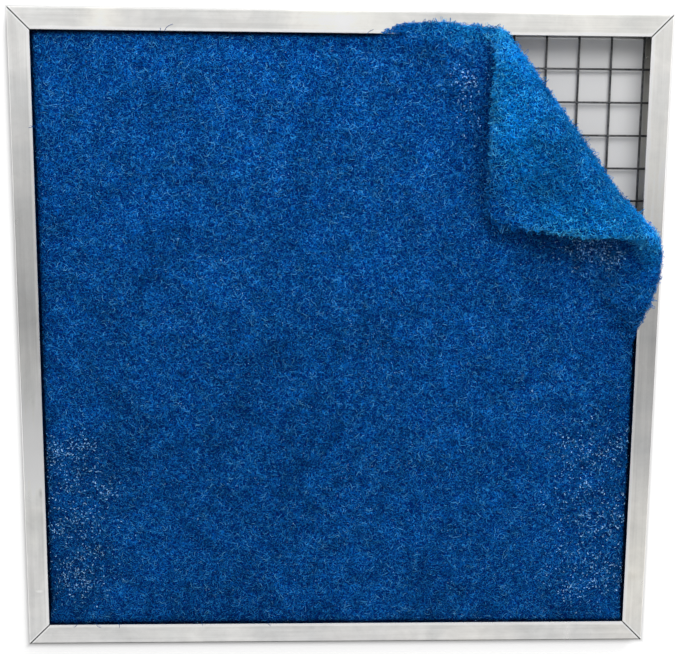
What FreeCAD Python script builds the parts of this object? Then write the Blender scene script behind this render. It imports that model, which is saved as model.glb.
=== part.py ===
import FreeCAD, Part
import Sketcher
import math
import os

# Square panel filter: a mitred C-channel frame, a wire grid that lies on the back flange, and a thick
# fibre pad in front of the grid. The top right corner of the pad is pulled out and folded over.
# X runs to the right and Y up as the filter is seen from its front, Z runs from the back to the front.
# The origin is the centre of the back face. All sizes are in millimetres.

PLAIN_SIZES = {
    # Frame
    "frame_width": 501.6,
    "frame_height": 501.6,
    "frame_depth": 20.6,
    "sheet_thickness": 1.0,
    "front_lip": 16.5,
    "back_lip": 16.5,
    "bend_radius": 0.5,
    "edge_round": 0.2,
    "mitre_setback": 0.2,
    # Corner keys
    "key_thickness": 1.5,
    "key_arm": 45.0,
    "key_bend_radius": 1.0,
    "key_clearance": 0.2,
    # Wire grid
    "wire_diameter": 1.6,
    "wire_end_clearance": 0.3,
    "first_wire_from_top": 14.1,
    "last_wire_from_bottom": 4.9,
    "first_wire_from_right": 16.3,
    "last_wire_from_left": 28.1,
    # Pad
    "pad_thickness": 12.7,
    "pad_clearance": 0.3,
    "pad_side_clearance": 1.1,
    # Folded corner of the pad, measured from the outer corner of the frame
    "lift_start_across": 258.0,
    "lift_start_down": 275.0,
    "bend_top_across": 152.4,
    "bend_top_inset": 14.8,
    "bend_side_down": 210.8,
    "bend_side_inset": 7.3,
    "bend_top_inner_radius": 3.2,
    "bend_side_inner_radius": 6.0,
    "wrap_top": 26.0,
    "wrap_side": 54.0,
    "side_pinch": 10.0,
    "flap_corner_across": 138.8,
    "flap_corner_down": 157.8,
    "flap_corner_cut": 8.0,
    "flap_gap": 0.5,
}

LEVEL_WIRES = 20
UPRIGHT_WIRES = 19
# Control points of the folded sheet: shares of the run up to the bend, steps round the bend and
# shares of the flap. The sheet is still level at the first FLAT_POLES of them. The shift along the
# crease lags behind the turn by a power of WRAP_LAG. The long faces of the sheet are divided at
# FACE_SEAMS, and past the last of them the flap is flat.
RUN_FRACTIONS = (0.0, 0.15, 0.4, 0.65, 0.88)
FLAT_POLES = 2
BEND_STEPS = 8
WRAP_LAG = 1.2
FLAP_START = len(RUN_FRACTIONS) + BEND_STEPS
FLAP_FRACTIONS = (0.12, 0.4, 1.0)
FACE_SEAMS = (0, 3, 5, 11, FLAP_START)
# Length of a cut that goes right through, as a multiple of the thickness that it crosses
CUT_THROUGH = 3.0

doc = FreeCAD.newDocument("PanelFilter")
sheet = doc.addObject("Spreadsheet::Sheet", "Sizes")


class Term:
    """A length as a number, together with the spreadsheet expression that it comes from."""

    def __init__(self, value, text):
        self.value = value
        self.text = text

    def join(self, sign, other, value):
        return Term(value, "(%s %s %s)" % (self.text, sign, other.text))

    def __add__(self, other):
        return self.join("+", other, self.value + other.value)

    def __sub__(self, other):
        return self.join("-", other, self.value - other.value)

    def __neg__(self):
        return Term(-self.value, "(-1 * %s)" % self.text)

    def times(self, number):
        return Term(self.value * number, "(%s * %r)" % (self.text, number))


def fill_sheet():
    for row, (alias, value) in enumerate(PLAIN_SIZES.items(), start=1):
        sheet.set("A%d" % row, alias)
        sheet.set("B%d" % row, str(value))
        sheet.setAlias("B%d" % row, alias)
    doc.recompute()


def size(alias):
    return Term(float(sheet.get(alias)), "Sizes." + alias)


fill_sheet()
ZERO = Term(0.0, "0")
half_width = size("frame_width").times(0.5)
half_height = size("frame_height").times(0.5)
depth = size("frame_depth")
wall = size("sheet_thickness")
wire = size("wire_diameter")
wire_radius = wire.times(0.5)


def bind(item, path, term):
    item.setExpression(path, term.text)


def place(item, x, y, z, turn=0.0):
    """Moves a sub-part to a bound position and turns it about Z by a fixed angle."""
    turned = FreeCAD.Rotation(FreeCAD.Vector(0, 0, 1), turn)
    item.Placement = FreeCAD.Placement(FreeCAD.Vector(x.value, y.value, z.value), turned)
    bind(item, "Placement.Base.x", x)
    bind(item, "Placement.Base.y", y)
    bind(item, "Placement.Base.z", z)


def new_body(label):
    body = doc.addObject("PartDesign::Body", label)
    body.Label = label
    return body


def new_sketch(body, name, plane):
    """A sketch on one of the body's own origin planes."""
    sketch = body.newObject("Sketcher::SketchObject", name)
    origin_plane = [f for f in body.Origin.OriginFeatures if f.Role == plane][0]
    sketch.AttachmentSupport = [(origin_plane, "")]
    sketch.MapMode = "FlatFace"
    return sketch


def fix_point(sketch, geometry, point, x, y):
    """Holds one point of a sketch at bound coordinates."""
    for kind, term in (("DistanceX", x), ("DistanceY", y)):
        index = sketch.addConstraint(Sketcher.Constraint(kind, -1, 1, geometry, point, term.value))
        sketch.setExpression("Constraints[%d]" % index, term.text)


def step_from(corner, other, radius):
    """The point at one radius from a corner of a square outline towards the next corner."""
    moved = []
    for here, there in zip(corner, other):
        gap = there.value - here.value
        if abs(gap) < 1e-9:
            moved.append(here)
        else:
            moved.append(here + radius if gap > 0 else here - radius)
    return tuple(moved)


def outline(sketch, corners):
    """A closed outline. A corner is (x, y) or, where two square edges meet, (x, y, radius)."""
    count = len(corners)
    runs = []
    for i, corner in enumerate(corners):
        before = corners[i - 1]
        after = corners[(i + 1) % count]
        if len(corner) == 3:
            start = step_from(corner[:2], before[:2], corner[2])
            end = step_from(corner[:2], after[:2], corner[2])
        else:
            start = corner[:2]
            end = corner[:2]
        runs.append((start, end))

    def vector(point):
        return FreeCAD.Vector(point[0].value, point[1].value, 0)

    lines = []
    for i in range(count):
        leave = runs[i][1]
        arrive = runs[(i + 1) % count][0]
        line = sketch.addGeometry(Part.LineSegment(vector(leave), vector(arrive)))
        fix_point(sketch, line, 1, *leave)
        lines.append(line)
        if len(corners[(i + 1) % count]) == 3:
            fix_point(sketch, line, 2, *arrive)
    for i, corner in enumerate(corners):
        incoming = lines[i - 1]
        outgoing = lines[i]
        if len(corner) == 2:
            sketch.addConstraint(Sketcher.Constraint("Coincident", incoming, 2, outgoing, 1))
            continue
        start, end = vector(runs[i][0]), vector(runs[i][1])
        centre = start + end - vector(corner)
        first = math.atan2(start.y - centre.y, start.x - centre.x)
        last = math.atan2(end.y - centre.y, end.x - centre.x)
        sweep = (last - first) % (2 * math.pi)
        circle = Part.Circle(centre, FreeCAD.Vector(0, 0, 1), corner[2].value)
        forward = sweep < math.pi
        if forward:
            arc = Part.ArcOfCircle(circle, first, first + sweep)
        else:
            arc = Part.ArcOfCircle(circle, last, last + 2 * math.pi - sweep)
        bend = sketch.addGeometry(arc)
        sketch.addConstraint(Sketcher.Constraint("Coincident", incoming, 2, bend, 1 if forward else 2))
        sketch.addConstraint(Sketcher.Constraint("Coincident", bend, 2 if forward else 1, outgoing, 1))
        held = sketch.addConstraint(Sketcher.Constraint("Radius", bend, corner[2].value))
        sketch.setExpression("Constraints[%d]" % held, corner[2].text)


def extrude(body, name, kind, sketch, length, midplane=False):
    """A Pad or a Pocket of a sketch, to one side or to both sides of its plane."""
    feature = body.newObject("PartDesign::" + kind, name)
    feature.Profile = sketch
    feature.Midplane = midplane
    bind(feature, "Length", length)
    return feature


# Frame: four lengths of C-channel, mitred at both ends.
# A rail is drawn along X with the outer face of its web on the XZ plane and its lips towards -Y.
def make_rail(label, length, x, y, turn):
    body = new_body(label)
    outer_bend = size("bend_radius") + wall
    small = size("edge_round")
    section = new_sketch(body, label + "_section", "YZ_Plane")
    outline(section, (
        (ZERO, ZERO, outer_bend),
        (ZERO, depth, outer_bend),
        (-size("front_lip"), depth, small),
        (-size("front_lip"), depth - wall, small),
        (-wall, depth - wall, size("bend_radius")),
        (-wall, wall, size("bend_radius")),
        (-size("back_lip"), wall, small),
        (-size("back_lip"), ZERO, small),
    ))
    extrude(body, label + "_channel", "Pad", section, length, midplane=True)
    doc.recompute()
    # The triangle that a mitre takes away is drawn larger than the channel by the reach of its lips.
    end = length.times(0.5)
    edge = end - size("mitre_setback")
    reach = size("front_lip") + size("back_lip")
    mitres = new_sketch(body, label + "_mitres", "XY_Plane")
    outline(mitres, (
        (edge + reach, reach),
        (edge - reach, -reach),
        (end + reach, -reach),
        (end + reach, reach),
    ))
    outline(mitres, (
        (-edge - reach, reach),
        (-end - reach, reach),
        (-end - reach, -reach),
        (reach - edge, -reach),
    ))
    extrude(body, label + "_mitre_cuts", "Pocket", mitres, depth.times(CUT_THROUGH), midplane=True)
    doc.recompute()
    place(body, x, y, ZERO, turn)
    return body


# Corner keys: an L of bent flat bar at each corner, pressed in between the lips of two rails. It stays
# clear of the bends of the channel.
key_gap = size("bend_radius") + size("key_clearance")


def make_key(label, x, y, turn):
    body = new_body(label)
    bar = size("key_thickness")
    arm = size("key_arm")
    inner_bend = size("key_bend_radius")
    shape = new_sketch(body, label + "_shape", "XY_Plane")
    outline(shape, (
        (ZERO, ZERO, inner_bend + bar),
        (-arm, ZERO),
        (-arm, -bar),
        (-bar, -bar, inner_bend),
        (-bar, -arm),
        (ZERO, -arm),
    ))
    extrude(body, label + "_bar", "Pad", shape, depth - wall.times(2.0))
    doc.recompute()
    place(body, x, y, wall, turn)
    return body


# Wire grid: straight wires welded where they cross. The upright wires lie on the back flange and
# the level wires lie on the upright ones.
wire_stop = wall + key_gap + size("key_thickness") + size("wire_end_clearance")


def make_wire(label, half_length, direction, x, y, z):
    rod = doc.addObject("Part::Cylinder", label)
    rod.Label = label
    bind(rod, "Radius", wire_radius)
    bind(rod, "Height", half_length.times(2.0))
    turned = FreeCAD.Rotation(FreeCAD.Vector(0, 0, 1), direction)
    rod.Placement = FreeCAD.Placement(FreeCAD.Vector(x.value, y.value, z.value), turned)
    for axis, term in zip("xyz", (x, y, z)):
        bind(rod, "Placement.Base." + axis, term)
    return rod


def make_grid():
    wires = []
    half_across = half_width - wire_stop
    half_up = half_height - wire_stop
    first_down = size("first_wire_from_top")
    first_in = size("first_wire_from_right")
    down_span = size("frame_height") - first_down - size("last_wire_from_bottom")
    in_span = size("frame_width") - first_in - size("last_wire_from_left")
    for i in range(LEVEL_WIRES):
        level = half_height - first_down - down_span.times(i / (LEVEL_WIRES - 1))
        wires.append(make_wire("wire_level_%02d" % (i + 1), half_across, FreeCAD.Vector(1, 0, 0),
                               -half_across, level, wall + wire + wire_radius))
    for i in range(UPRIGHT_WIRES):
        across = half_width - first_in - in_span.times(i / (UPRIGHT_WIRES - 1))
        wires.append(make_wire("wire_upright_%02d" % (i + 1), half_up, FreeCAD.Vector(0, 1, 0),
                               across, -half_up, wall + wire_radius))
    return wires


# Pad: a flat plate with one corner cut off where the sheet starts to lift, and the lifted, folded
# corner as a bent sheet between its two cut edges. Both lips press a slot into the lifted part.
pad_thick = size("pad_thickness")
pad_bottom = wall + wire.times(2.0) + size("pad_clearance")
pad_inset = wall + key_gap + size("key_thickness") + size("pad_side_clearance")
pad_right = half_width - pad_inset
pad_top = half_height - pad_inset
lift_x = half_width - size("lift_start_across")
lift_y = half_height - size("lift_start_down")


def make_pad_plate():
    body = new_body("pad_plate")
    shape = new_sketch(body, "pad_plate_shape", "XY_Plane")
    outline(shape, (
        (-pad_right, -pad_top),
        (pad_right, -pad_top),
        (pad_right, lift_y),
        (lift_x, pad_top),
        (-pad_right, pad_top),
    ))
    extrude(body, "pad_plate_slab", "Pad", shape, pad_thick)
    place(body, ZERO, ZERO, pad_bottom)
    return body


def climb(part):
    """Share of the lift that is reached after this share of the run."""
    level = RUN_FRACTIONS[FLAT_POLES - 1]
    share = max(part - level, 0.0) / (1.0 - level)
    return share * share * (3.0 - 2.0 * share)


def bulge(part):
    """A smooth swell along a run: 0 at both ends, where it is also level, and 1 in the middle."""
    return (4.0 * part * (1.0 - part)) ** 2


def edge_poles(start, bend, radius, wrap, pinch, corner, lifted, along):
    """Control points of one cut edge of the lifted corner, along the middle of the sheet.

    The edge climbs from the flat pad to the start of the bend at the lifted height, wraps round the
    bend while it moves along the crease by wrap, and runs back down to the free corner of the flap.
    """
    outward = FreeCAD.Vector(-along.y, along.x, 0)
    poles = []
    for part in RUN_FRACTIONS:
        point = start + (bend - start) * part + pinch * bulge(part)
        point.z = start.z + (lifted - start.z) * climb(part)
        poles.append(point)
    landing = bend + along * wrap
    drop = lifted + 2.0 * radius - corner.z
    run = math.hypot(landing.x - corner.x, landing.y - corner.y)
    step = (math.pi + math.atan2(drop, run)) / BEND_STEPS
    reach = radius / math.cos(step / 2.0)
    for i in range(BEND_STEPS):
        turned = i + 0.5
        angle = turned * step
        shift = wrap * (turned / BEND_STEPS) ** WRAP_LAG
        point = bend + outward * (reach * math.sin(angle)) + along * shift
        point.z = lifted + radius - reach * math.cos(angle)
        poles.append(point)
    finish = landing + outward * (radius * math.sin(BEND_STEPS * step))
    finish.z = lifted + radius - radius * math.cos(BEND_STEPS * step)
    for part in FLAP_FRACTIONS:
        poles.append(finish + (corner - finish) * part)
    return poles


def clamped_knots(pole_count, degree):
    """Knots and multiplicities of an open curve with evenly spaced spans."""
    spans = pole_count - degree
    knots = [float(i) for i in range(spans + 1)]
    mults = [degree + 1] + [1] * (spans - 1) + [degree + 1]
    return knots, mults


def strip(first, second, degree):
    """A surface whose straight rulings join two rows of control points."""
    knots, mults = clamped_knots(len(first), degree)
    surface = Part.BSplineSurface()
    rows = [[a, b] for a, b in zip(first, second)]
    surface.buildFromPolesMultsKnots(rows, mults, [2, 2], knots, [0.0, 1.0], False, False, degree, 1)
    return surface


def strip_faces(first, second):
    """The strip between two rows as faces that meet at the seams, with a flat one for the flap."""
    surface = strip(first, second, 2)
    faces = []
    for begin, end in zip(FACE_SEAMS, FACE_SEAMS[1:]):
        piece = surface.copy()
        piece.segment(begin, end, 0.0, 1.0)
        faces.append(piece.toShape())
    near_left, near_right = surface.value(FLAP_START, 0.0), surface.value(FLAP_START, 1.0)
    flap = strip([near_left, first[-1]], [near_right, second[-1]], 1)
    faces.append(flap.toShape())
    return faces


def sheet_sides(left, right):
    """Moves two rows of middle points half a thickness to the front and to the back."""
    half = pad_thick.value / 2.0
    sides = [[], [], [], []]
    last = len(left) - 1
    for i in range(last + 1):
        for row, (front, back) in ((left, (0, 1)), (right, (2, 3))):
            if i < FLAT_POLES:
                normal = FreeCAD.Vector(0, 0, 1)
            else:
                before, after = (FLAP_START, last) if i >= FLAP_START else (i - 1, i + 1)
                normal = (row[after] - row[before]).cross(left[i] - right[i])
                normal.normalize()
            sides[front].append(row[i] + normal * half)
            sides[back].append(row[i] - normal * half)
    return sides


def make_pad_fold():
    """The lifted and folded corner as a closed solid."""
    half = pad_thick.value / 2.0
    flat = pad_bottom.value + half
    lifted = depth.value + size("pad_clearance").value + half
    right, top = half_width.value, half_height.value
    top_bend = FreeCAD.Vector(right - size("bend_top_across").value, top - size("bend_top_inset").value, 0)
    side_bend = FreeCAD.Vector(right - size("bend_side_inset").value, top - size("bend_side_down").value, 0)
    along = side_bend - top_bend
    along.normalize()
    corner = FreeCAD.Vector(right - size("flap_corner_across").value, top - size("flap_corner_down").value,
                            flat + pad_thick.value + size("flap_gap").value)
    cut = size("flap_corner_cut").value
    top_edge = edge_poles(
        FreeCAD.Vector(lift_x.value, pad_top.value, flat), top_bend,
        half + size("bend_top_inner_radius").value, size("wrap_top").value,
        FreeCAD.Vector(0, 0, 0), corner + FreeCAD.Vector(0, cut, 0), lifted, along)
    side_edge = edge_poles(
        FreeCAD.Vector(pad_right.value, lift_y.value, flat), side_bend,
        half + size("bend_side_inner_radius").value, -size("wrap_side").value,
        FreeCAD.Vector(-size("side_pinch").value, 0, 0), corner + FreeCAD.Vector(cut, 0, 0), lifted, along)
    top_front, top_back, side_front, side_back = sheet_sides(top_edge, side_edge)
    faces = strip_faces(top_front, side_front) + strip_faces(top_back, side_back)
    faces += strip_faces(top_front, top_back) + strip_faces(side_front, side_back)
    for end in (0, -1):
        cap = strip([top_front[end], top_back[end]], [side_front[end], side_back[end]], 1)
        faces.append(cap.toShape())
    shell = Part.makeShell(faces)
    shell.sewShape()
    solid = Part.makeSolid(shell)
    if solid.Volume < 0:
        solid.reverse()
    fold = doc.addObject("Part::Feature", "pad_fold")
    fold.Label = "pad_fold"
    fold.Shape = solid
    fold.Placement = FreeCAD.Placement()
    return fold


def make_lip_slot(name, length, width, x, y):
    """The room that a front lip takes, with the pad's clearance above and below it."""
    gap = size("pad_clearance")
    slot = doc.addObject("Part::Box", name)
    slot.Label = name
    bind(slot, "Length", length)
    bind(slot, "Width", width)
    bind(slot, "Height", wall + gap.times(2.0))
    place(slot, x, y, depth - wall - gap)
    return slot


def make_pad():
    plate = make_pad_plate()
    fold = make_pad_fold()
    whole = doc.addObject("Part::MultiFuse", "pad_whole")
    whole.Shapes = [plate, fold]
    lip = size("front_lip") + size("pad_clearance")
    top_slot = make_lip_slot("top_lip_slot", size("frame_width"), lip, -half_width, half_height - lip)
    side_slot = make_lip_slot("side_lip_slot", lip, size("frame_height"), half_width - lip, -half_height)
    slots = doc.addObject("Part::MultiFuse", "lip_slots")
    slots.Shapes = [top_slot, side_slot]
    pad = doc.addObject("Part::Cut", "media_pad")
    pad.Label = "media_pad"
    pad.Base = whole
    pad.Tool = slots
    pad.Placement = FreeCAD.Placement()
    return pad


def make_frame():
    width, height = size("frame_width"), size("frame_height")
    key_right = half_width - wall - key_gap
    key_top = half_height - wall - key_gap
    rails = [
        make_rail("rail_top", width, ZERO, half_height, 0),
        make_rail("rail_left", height, -half_width, ZERO, 90),
        make_rail("rail_bottom", width, ZERO, -half_height, 180),
        make_rail("rail_right", height, half_width, ZERO, 270),
    ]
    keys = [
        make_key("corner_key_top_right", key_right, key_top, 0),
        make_key("corner_key_top_left", -key_right, key_top, 90),
        make_key("corner_key_bottom_left", -key_right, -key_top, 180),
        make_key("corner_key_bottom_right", key_right, -key_top, 270),
    ]
    return rails + keys


def check(parts):
    for item in doc.Objects:
        if "Invalid" in item.State or "Error" in item.State:
            raise RuntimeError("%s did not build: %s" % (item.Name, item.State))
    for item in parts:
        if item.Shape.isNull() or not item.Shape.isValid() or item.Shape.Volume <= 0:
            raise RuntimeError("%s has no sound shape" % item.Label)


def main():
    parts = make_frame() + make_grid() + [make_pad()]
    doc.recompute()
    check(parts)
    os.makedirs("parts", exist_ok=True)
    for item in parts:
        item.Shape.exportStep("parts/%s.step" % item.Label)
        print("%-26s solids %d  volume %.1f" % (item.Label, len(item.Shape.Solids), item.Shape.Volume))


main()
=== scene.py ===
import math

import bmesh
import bpy
import numpy as np
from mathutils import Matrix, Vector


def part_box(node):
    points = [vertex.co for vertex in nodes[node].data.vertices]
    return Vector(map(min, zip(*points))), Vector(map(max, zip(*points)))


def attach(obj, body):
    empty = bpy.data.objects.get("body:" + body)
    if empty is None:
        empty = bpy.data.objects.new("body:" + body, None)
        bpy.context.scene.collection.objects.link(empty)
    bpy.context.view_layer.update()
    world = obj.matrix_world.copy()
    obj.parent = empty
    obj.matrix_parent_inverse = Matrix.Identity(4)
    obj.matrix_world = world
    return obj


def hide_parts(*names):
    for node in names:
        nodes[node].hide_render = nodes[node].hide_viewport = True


# A square panel filter seen from above its front: satin aluminium frame, welded wire grid and a pad
# of curled blue fibre with its top right corner folded over. All sizes are in metres.

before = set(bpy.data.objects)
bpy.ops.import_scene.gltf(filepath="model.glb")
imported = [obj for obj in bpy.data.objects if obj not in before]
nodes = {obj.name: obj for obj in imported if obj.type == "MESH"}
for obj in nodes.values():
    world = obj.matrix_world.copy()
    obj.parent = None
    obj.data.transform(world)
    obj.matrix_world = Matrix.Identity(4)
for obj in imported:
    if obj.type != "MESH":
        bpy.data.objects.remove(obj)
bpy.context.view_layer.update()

SEED = 20
rng = np.random.default_rng(SEED)

# Places that come from the solids, and the few stock sizes that go with them
rail_low, rail_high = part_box("rail_top")
INNER = rail_low[1]
OUTER = rail_high[1]
FRONT = rail_high[2]
LIP = 0.001
pad_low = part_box("media_pad")[0]
PAD_THICKNESS = 0.0127
PAD_BACK = pad_low[2]
PAD_FRONT = PAD_BACK + PAD_THICKNESS
PAD_HALF = -pad_low[0]
WIRE_RADIUS = 0.0008

# Camera, fitted to the edges of the frame in the photograph: place, turn in degrees and lens in mm
CAMERA_PLACE = (-0.0314, 0.1408, 0.8627)
CAMERA_TURN = (-8.795, -1.976, 0.477)
CAMERA_LENS = 57.74
CAMERA_SENSOR = 36.0
CAMERA_CLIP = (0.01, 50.0)


# Materials
class Nodes:
    """Short calls for the few nodes that this scene uses, on a material or on the world."""

    def __init__(self, owner, coordinates):
        owner.use_nodes = True
        self.tree = owner.node_tree
        self.nodes = self.tree.nodes
        self.place = self.nodes.new("ShaderNodeTexCoord").outputs[coordinates]

    def link(self, source, target):
        self.tree.links.new(source, target)

    def stretched(self, scale, shift=(0.0, 0.0, 0.0)):
        """Coordinates times a scale on each axis, then moved."""
        mapping = self.nodes.new("ShaderNodeMapping")
        mapping.inputs["Scale"].default_value = scale
        mapping.inputs["Location"].default_value = shift
        self.link(self.place, mapping.inputs["Vector"])
        return mapping.outputs["Vector"]

    def scaled_along(self, axis, across, along):
        """Coordinates with one scale along an axis and another one across it."""
        scale = [across] * 3
        scale[axis] = along
        return self.stretched(tuple(scale))

    def strands(self, scale, shift, width):
        """Thin winding lines, like curled threads: 1 on a line and 0 between the lines."""
        vector = self.stretched((scale, scale, scale), shift)
        field = self.noise(1.0, detail=1.0, roughness=0.4, vector=vector, distortion=0.6)
        away = self.math("ABSOLUTE", self.math("SUBTRACT", field, 0.5))
        return self.ramp(away, ((0.0, 1.0), (width, 0.0)))

    def patch(self, centre, reach):
        """1 at a place, falling to 0 at a reach from it on each axis."""
        scale = tuple(1.0 / r for r in reach)
        vector = self.stretched(scale, tuple(-c * k for c, k in zip(centre, scale)))
        node = self.nodes.new("ShaderNodeTexGradient")
        node.gradient_type = "SPHERICAL"
        self.link(vector, node.inputs["Vector"])
        return node.outputs["Fac"]

    def axes(self):
        """The three coordinates, each on its own."""
        split = self.nodes.new("ShaderNodeSeparateXYZ")
        self.link(self.place, split.inputs[0])
        return split.outputs["X"], split.outputs["Y"], split.outputs["Z"]

    def from_middle(self, middle=(0.0, 0.0)):
        """How far out a point is on the plan, on X or Y, whichever is more: 1 at the outer edge."""
        out = [self.math("ABSOLUTE", self.math("SUBTRACT", value, centre))
               for value, centre in zip(self.axes(), middle)]
        return self.math("MULTIPLY", self.math("MAXIMUM", *out), 1.0 / OUTER)

    def rays(self, *kinds):
        """1 on rays of any of these kinds and 0 on the others."""
        path = self.nodes.new("ShaderNodeLightPath")
        found, *others = (path.outputs[kind] for kind in kinds)
        for other in others:
            found = self.math("MAXIMUM", found, other)
        return found

    def noise(self, scale, detail=3.0, roughness=0.5, vector=None, distortion=0.0):
        node = self.nodes.new("ShaderNodeTexNoise")
        node.inputs["Scale"].default_value = scale
        node.inputs["Detail"].default_value = detail
        node.inputs["Roughness"].default_value = roughness
        node.inputs["Distortion"].default_value = distortion
        self.link(self.place if vector is None else vector, node.inputs["Vector"])
        return node.outputs["Fac"]

    def ramp(self, factor, stops):
        """A colour ramp with stops of a place and a grey or a colour."""
        node = self.nodes.new("ShaderNodeValToRGB")
        band = node.color_ramp
        while len(band.elements) < len(stops):
            band.elements.new(0.5)
        for element, (place, colour) in zip(band.elements, stops):
            element.position = place
            element.color = (*(colour if isinstance(colour, tuple) else (colour,) * 3), 1.0)
        self.link(factor, node.inputs["Fac"])
        return node.outputs["Color"]

    def math(self, kind, *values):
        node = self.nodes.new("ShaderNodeMath")
        node.operation = kind
        for socket, value in zip(node.inputs, values):
            if isinstance(value, (int, float)):
                socket.default_value = value
            else:
                self.link(value, socket)
        return node.outputs["Value"]

    def mix(self, factor, first, second, blend="MIX"):
        node = self.nodes.new("ShaderNodeMix")
        node.data_type = "RGBA"
        node.blend_type = blend
        for index, value in ((0, factor), (6, first), (7, second)):
            socket = node.inputs[index]
            if isinstance(value, (int, float)):
                socket.default_value = value
            elif isinstance(value, tuple):
                socket.default_value = (*value, 1.0)
            else:
                self.link(value, socket)
        return node.outputs[2]

    def times(self, colour, tone, factor=1.0):
        """A colour multiplied by a tone, as far as the factor says."""
        return self.mix(factor, colour, tone, "MULTIPLY")

    def shaded(self, colour, patches):
        """A colour with a shade over it at each patch: centre, reach on each axis and shade."""
        for centre, reach, shade in patches:
            colour = self.times(colour, shade, self.patch(centre, reach))
        return colour


class Shader(Nodes):
    """A material with its Principled node."""

    def __init__(self, name):
        self.material = bpy.data.materials.new(name)
        super().__init__(self.material, "Object")
        self.body = self.nodes["Principled BSDF"]

    def bump(self, height, strength, distance, edge=0.0):
        """A bump on the surface, over edges that look rounded to a radius."""
        node = self.nodes.new("ShaderNodeBump")
        if edge:
            rounded = self.nodes.new("ShaderNodeBevel")
            rounded.samples = 6
            rounded.inputs["Radius"].default_value = edge
            self.link(rounded.outputs["Normal"], node.inputs["Normal"])
        node.inputs["Strength"].default_value = strength
        node.inputs["Distance"].default_value = distance
        self.link(height, node.inputs["Height"])
        self.link(node.outputs["Normal"], self.body.inputs["Normal"])

    def set(self, **values):
        for name, value in values.items():
            socket = self.body.inputs[name.replace("_", " ")]
            if hasattr(value, "links"):
                self.link(value, socket)
            else:
                socket.default_value = value


# Aluminium: painted reflections, lighter and darker stretches along the frame that stand in for the
# studio mirrored in the metal, and a few small pale and dark marks: centre, reach on each axis and
# shade
TOP_Y, SIDE_X = 0.2425, 0.2425
REFLECTIONS_AND_MARKS = (
    ((-0.181, TOP_Y, 0.02), (0.020, 0.060, 1.0), (1.34, 1.31, 1.25)),
    ((-0.002, TOP_Y, 0.02), (0.056, 0.080, 1.0), (1.33, 1.31, 1.26)),
    ((0.190, TOP_Y, 0.02), (0.110, 0.050, 1.0), (1.16, 1.15, 1.12)),
    ((-0.225, TOP_Y, 0.02), (0.030, 0.080, 1.0), (1.10, 1.10, 1.10)),
    ((-SIDE_X, -0.078, 0.02), (0.060, 0.090, 1.0), (1.40, 1.40, 1.38)),
    ((-SIDE_X, -0.146, 0.02), (0.040, 0.022, 1.0), (0.92, 0.92, 0.91)),
    ((SIDE_X, -0.190, 0.02), (0.060, 0.100, 1.0), (1.22, 1.19, 1.12)),
    ((SIDE_X, 0.125, 0.02), (0.060, 0.125, 1.0), (1.25, 1.24, 1.21)),
    ((0.0, TOP_Y, 0.02), (0.60, 0.045, 1.0), (0.99, 0.99, 0.98)),
    ((-0.125, -TOP_Y, 0.02), (0.070, 0.060, 1.0), (1.10, 1.10, 1.09)),
    ((0.110, -TOP_Y, 0.02), (0.080, 0.060, 1.0), (1.12, 1.11, 1.09)),
    ((-0.2415, -0.2055, 0.02), (0.0035, 0.0016, 1.0), (1.35, 1.35, 1.33)),
    ((-0.2375, -0.1235, 0.02), (0.0022, 0.0050, 1.0), (0.72, 0.72, 0.72)),
    ((-0.2440, -0.1640, 0.02), (0.0080, 0.0120, 1.0), (1.12, 1.12, 1.10)),
    ((0.2410, -0.1950, 0.02), (0.0090, 0.0060, 1.0), (0.93, 0.92, 0.90)),
)

# Scales of its patterns, across and along the rail, and of its stains and scuffs
FINE_LINES = (1100.0, 9.0)
DRAWN_LINES = (260.0, 14.0)
CROSS_BANDS = (1.0, 30.0)
STAIN_SCALE = 48.0
SCUFF_SCALE = 150.0
WARM_TINT = (1.0, 0.992, 0.975)
COOL_TINT = (0.90, 0.905, 0.90)
EDGE_ROUND = 0.0007

# Its edges: a painted highlight beside the inner lip edge, painted shade in the open mitre with a
# painted highlight on each side, as tones across a mitre at places in centimetres, and a painted
# dark strip of shade along the lower outer edge, by share of the frame's half height and of its
# depth
INNER_EDGE = INNER / OUTER
LIP_EDGE_HIGHLIGHT = (1.45, 1.45, 1.43)
LIP_HIGHLIGHT_TONES = ((INNER_EDGE + 0.0052, 1.0), (INNER_EDGE + 0.0085, 0.0))
MITRE_SCALE = 100.0
MITRE_SHADE_AND_HIGHLIGHTS = ((0.050, 0.10), (0.085, 1.42), (0.17, 1.36), (0.25, 1.0))
LOW_EDGE = ((0.9945, 0.0), (0.9965, 1.0))
FRONT_EDGE = ((0.93, 0.0), (0.96, 1.0))
LOWER_EDGE_PAINTED_SHADE = (0.38, 0.38, 0.38)


def painted_rim_light(shader, colour):
    """Painted highlights along the inner lip edges, painted shade in the open mitres between
    painted highlights, and a painted dark strip of shade along the lower outer edge.
    """
    x, y, z = shader.axes()
    # Painted highlight beside the inner lip edge
    colour = shader.times(colour, LIP_EDGE_HIGHLIGHT, shader.ramp(shader.from_middle(), LIP_HIGHLIGHT_TONES))
    # Painted shade in the open mitre, with a painted highlight on each side of it
    away = shader.math("SUBTRACT", shader.math("ABSOLUTE", x), shader.math("ABSOLUTE", y))
    away = shader.math("MULTIPLY", shader.math("ABSOLUTE", away), MITRE_SCALE)
    colour = shader.times(colour, shader.ramp(away, MITRE_SHADE_AND_HIGHLIGHTS))
    # Painted dark strip of shade along the lower outer edge, at the front
    low = shader.ramp(shader.math("MULTIPLY", y, -1.0 / OUTER), LOW_EDGE)
    front = shader.ramp(shader.math("MULTIPLY", z, 1.0 / FRONT), FRONT_EDGE)
    return shader.times(colour, LOWER_EDGE_PAINTED_SHADE, shader.math("MULTIPLY", low, front))


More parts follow.
